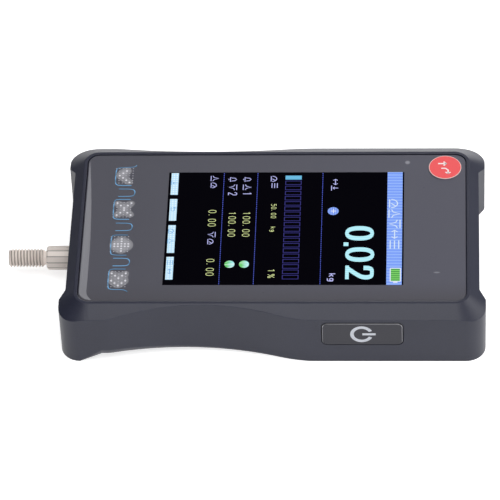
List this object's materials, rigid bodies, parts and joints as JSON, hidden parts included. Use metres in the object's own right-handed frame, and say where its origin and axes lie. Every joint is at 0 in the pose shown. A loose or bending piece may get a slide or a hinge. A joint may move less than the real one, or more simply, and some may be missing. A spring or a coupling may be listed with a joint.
{
  "type": "force gauge",
  "caption": "Slim hand-held digital force gauge: waisted, bevelled casing with a glass front, colour screen, touch keys, a side power button and a threaded force shaft with a grip.",
  "frame": {"origin": "centre of the flat back face, which the gauge lies on", "axes": "+X away from the force shaft towards the header end of the screen, -Y towards the power button's side, +Z out of the front panel"},
  "size_m": [0.1498, 0.0755, 0.0214],
  "materials": {
    "casing": "matte, very finely textured dark grey",
    "cover": "fine matte texture",
    "panel_glass": "glossy, printed from behind",
    "adhesive": "die-cut adhesive sheet",
    "film": "clear protective film",
    "tab": "printed, red",
    "display": "dark colour display",
    "foam": "soft foam",
    "circuit_board": "green solder mask",
    "chip": "moulded package",
    "shield_can": "tinned",
    "connector": "moulded, natural",
    "ribbon": "polyimide",
    "socket_steel": "plated",
    "battery": "shrink sleeve",
    "cell_alloy": "milled",
    "black_screw": "blackened",
    "insert_brass": "turned",
    "wire": "insulated",
    "bushing": "natural acetal",
    "shaft_steel": "turned, bright",
    "button": "fine matte texture",
    "plunger": "moulded"
  },
  "bodies": {
    "gauge_body": {"battery_cable": "wire", "battery_header": "connector", "battery_pack": "battery", "battery_pad": "foam", "buzzer": "chip", "case_screw_1": "black_screw", "case_screw_2": "black_screw", "case_screw_3": "black_screw", "case_screw_4": "black_screw", "cell_cable": "wire", "cell_header": "connector", "charging_socket": "socket_steel", "display": "display", "display_connector": "connector", "display_pad": "foam", "display_ribbon": "ribbon", "front_panel": "panel_glass", "housing": "casing", "load_cell": "cell_alloy", "main_board": "circuit_board", "mount_insert_1": "insert_brass", "mount_insert_2": "insert_brass", "mount_insert_3": "insert_brass", "mount_insert_4": "insert_brass", "panel_adhesive": "adhesive", "power_switch": "chip", "processor": "chip", "protective_film": "film", "pull_tab": "tab", "rear_cover": "cover", "sensor_shield": "shield_can", "shaft_bushing": "bushing", "touch_board": "circuit_board"},
    "sensing_shaft": {"force_shaft": "shaft_steel", "jam_nut": "shaft_steel"},
    "power_key": {"power_button": "button", "switch_plunger": "plunger"}
  },
  "joints": [
    {"name": "shaft_slide", "type": "slide", "parent": "gauge_body", "child": "sensing_shaft", "axis": [1, 0, 0], "range_m": [-0.0003, 0.0003], "stiffness_N_per_m": 2000},
    {"name": "power_press", "type": "slide", "parent": "gauge_body", "child": "power_key", "axis": [0, 1, 0], "range_m": [0, 0.0004], "stiffness_N_per_m": 800}
  ]
}
